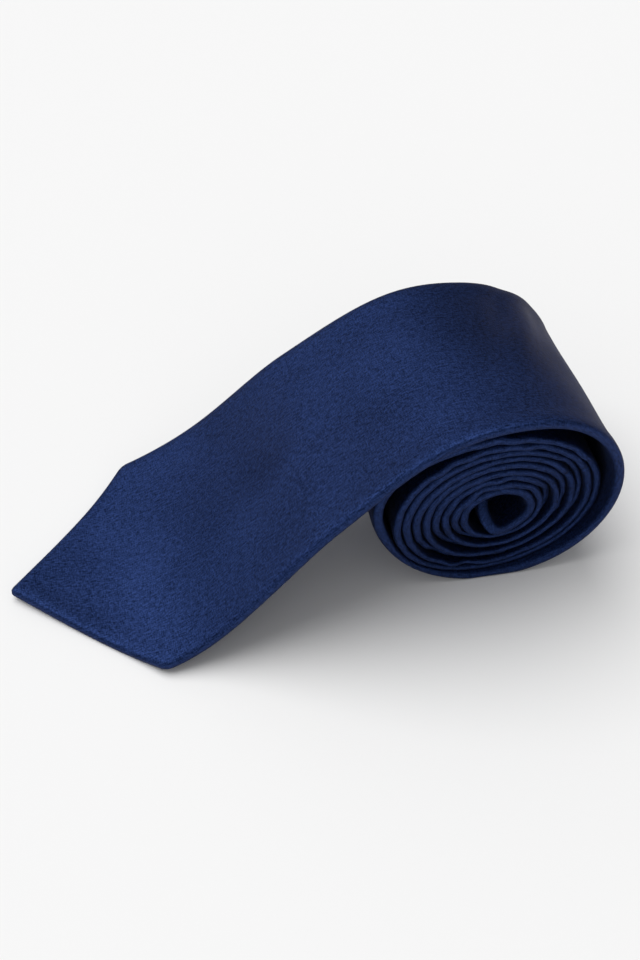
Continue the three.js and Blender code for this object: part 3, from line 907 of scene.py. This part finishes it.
# ---- camera, floor and light ----
def add_camera():
    a, e = math.radians(CAMERA_AZIMUTH), math.radians(CAMERA_ELEVATION)
    back = Vector((math.sin(a) * math.cos(e), -math.cos(a) * math.cos(e), math.sin(e)))
    data = bpy.data.cameras.new("camera")
    data.lens = CAMERA_LENS
    data.sensor_width = CAMERA_SENSOR
    data.clip_start = 0.01
    data.clip_end = 20.0
    camera = bpy.data.objects.new("camera", data)
    bpy.context.scene.collection.objects.link(camera)
    camera.location = (Vector(CAMERA_TARGET) + back * CAMERA_DISTANCE) * MM
    camera.rotation_mode = "QUATERNION"
    camera.rotation_quaternion = (-back).to_track_quat("-Z", "Y")
    bpy.context.scene.camera = camera


def add_floor():
    h, z = FLOOR_HALF, FLOOR_LEVEL
    corners = [(-h, -h, z), (h, -h, z), (h, h, z), (-h, h, z)]
    floor = add_mesh("floor", corners, [(0, 1, 2, 3)], floor_material())


def add_light():
    """One soft key light, and a sky that is brighter on the left."""
    key = bpy.data.lights.new("key", "SUN")
    key.energy = KEY_STRENGTH
    key.angle = math.radians(KEY_ANGLE)
    lamp = bpy.data.objects.new("key", key)
    bpy.context.scene.collection.objects.link(lamp)
    lamp.rotation_mode = "QUATERNION"
    lamp.rotation_quaternion = Vector(KEY_FROM).to_track_quat("Z", "Y")
    world = bpy.data.worlds.new("studio")
    world.use_nodes = True
    nodes, links = world.node_tree.nodes, world.node_tree.links
    direction = nodes.new("ShaderNodeTexCoord")
    split = nodes.new("ShaderNodeSeparateXYZ")
    side = nodes.new("ShaderNodeMapRange")
    side.interpolation_type = "SMOOTHSTEP"
    side.inputs["From Min"].default_value = -1.0
    blend = nodes.new("ShaderNodeMix")
    blend.data_type = "RGBA"
    blend.inputs[6].default_value = (*SKY_LEFT, 1)
    blend.inputs[7].default_value = (*SKY_RIGHT, 1)
    links.new(direction.outputs["Generated"], split.inputs[0])
    links.new(split.outputs[0], side.inputs["Value"])
    links.new(side.outputs[0], blend.inputs[0])
    links.new(blend.outputs[2], nodes["Background"].inputs["Color"])
    bpy.context.scene.world = world
    bpy.context.scene.view_settings.view_transform = "Standard"


# ---- pieces ----
def bend(piece):
    """The piece's transform, baked into its mesh."""
    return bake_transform(piece)


def silk_pieces(silk):
    blade_rows = rows_between(0, NECK_SEAM - SEAM_GAP, at_point=True)
    neck_rows = rows_between(NECK_SEAM + SEAM_GAP, TAIL_SEAM - SEAM_GAP)
    tail_rows = rows_between(TAIL_SEAM + SEAM_GAP, LENGTH, at_tail=True)
    blade = envelope("blade_silk", blade_rows, silk)
    neck = envelope("neck_silk", neck_rows, silk)
    tail = envelope("tail_silk", tail_rows, silk)
    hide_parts("blade_panel_free", "blade_panel_rolled")
    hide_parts("neck_panel")
    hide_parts("tail_panel")
    bend(blade)
    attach(neck, "roll")
    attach(tail, "roll")


def lining_pieces(wool, lining):
    blade_rows = rows_between(LINING_INSET, LINING_JOIN - SEAM_GAP)
    tail_rows = rows_between(LINING_JOIN + SEAM_GAP, LENGTH - LINING_INSET)
    blade_tip_rows = rows_between(*BLADE_TIPPING)
    tail_tip_rows = rows_between(*(LENGTH - back for back in TAIL_TIPPING))
    blade = interlining("blade_wool_interlining", blade_rows, wool)
    tail = interlining("tail_wool_interlining", tail_rows, wool)
    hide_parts("blade_interlining_free", "blade_interlining_rolled")
    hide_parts("tail_interlining")
    blade_tip = tipping("blade_tipping_lining", blade_tip_rows, lining)
    tail_tip = tipping("tail_tipping_lining", tail_tip_rows, lining)
    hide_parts("blade_tipping")
    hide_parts("tail_tipping")
    for piece in (blade, blade_tip):
        bend(piece)
    for piece in (tail, tail_tip):
        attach(piece, "roll")


def bar_tack(name, s, thread):
    """The tack that closes one end of the back seam."""
    reach, half, passes, under = (BAR_TACK[key] for key in ("reach", "half", "passes", "under"))
    return zigzag_tack(name, s, reach, -half, half, passes, under, thread)


def thread_pieces(thread):
    seam_start = BLADE_FLAPS_MEET
    seam_end = LENGTH - TAIL_FLAPS_MEET
    first, last = seam_start + STITCH_CLEAR[0], seam_end - STITCH_CLEAR[1]
    stitch = slip_stitch("slip_stitch_thread", first, last, thread)
    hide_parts("slip_stitch_free", "slip_stitch_rolled")
    blade_tack = bar_tack("blade_bar_tack", seam_start + BAR_TACK_OFFSETS[0], thread)
    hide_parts("bar_tack_blade")
    tail_tack = bar_tack("tail_bar_tack", seam_end - BAR_TACK_OFFSETS[1], thread)
    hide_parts("bar_tack_tail")
    for piece in (stitch, blade_tack):
        bend(piece)
    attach(tail_tack, "roll")


def keeper_pieces(silk, thread):
    """The band behind the blade that the tail slides through, with a tack at each of its feet."""
    start, end = (at_angle(angle) for angle in KEEPER_ANGLES)
    across = np.linspace(*KEEPER_ACROSS, KEEPER_POINTS)
    raised = ease(across, *KEEPER_FEET[0]) * (1 - ease(across, *KEEPER_FEET[1]))
    below = BACK_GAP + KEEPER_THICKNESS / 2 + KEEPER_RISE * raised
    band = strip("keeper_band", start, end, across, below, KEEPER_THICKNESS, silk)
    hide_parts("keeper_loop")
    under = BACK_GAP + KEEPER_THICKNESS + THREAD
    reach, half, passes = (KEEPER_TACK[key] for key in ("reach", "half", "passes"))
    near, far = KEEPER_TACKS_ACROSS
    for name, node, middle in (("near_keeper_tack", "keeper_tack_near", near),
                               ("far_keeper_tack", "keeper_tack_far", far)):
        tack = zigzag_tack(name, (start + end) / 2, reach, middle - half, middle + half,
                           passes, under, thread)
        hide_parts(node)
        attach(tack, "roll")
    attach(band, "roll")


def label_piece(label):
    """A blank ribbon sewn flat across the back."""
    start, end = (at_angle(angle) for angle in LABEL_ANGLES)
    across = np.linspace(-LABEL_HALF, LABEL_HALF, LABEL_POINTS)
    below = np.full_like(across, BACK_GAP + LABEL_THICKNESS / 2)
    ribbon = strip("blank_care_label", start, end, across, below, LABEL_THICKNESS, label)
    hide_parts("care_label")
    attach(ribbon, "roll")


def spare_loop(thread):
    """A loop of the seam's own thread, left slack behind the tail so that the seam can give."""
    turn = np.linspace(-0.5 * math.pi, 1.5 * math.pi, SPARE_LOOP_POINTS)
    s = LENGTH - TAIL_FLAPS_MEET + SPARE_LOOP["from_seam_end"] + SPARE_LOOP["long"] * np.sin(turn)
    across = SPARE_LOOP["wide"] * np.cos(turn) * (1 + SPARE_LOOP["taper"] * np.sin(turn))
    depth = lie.at(s, "thick") - SPARE_LOOP["sunk"] + SPARE_LOOP["climb"] * np.arange(len(s))
    loop = tube("spare_loop_of_thread", smooth_path(place(s, across, depth)), THREAD, thread)
    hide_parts("spare_thread_loop")
    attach(loop, "roll")


add_camera()
silk = silk_material()
wool = wool_material()
lining = tipping_material()
thread = thread_material()
label = label_material()
silk_pieces(silk)
lining_pieces(wool, lining)
thread_pieces(thread)
keeper_pieces(silk, thread)
label_piece(label)
spare_loop(thread)
add_floor()
add_light()
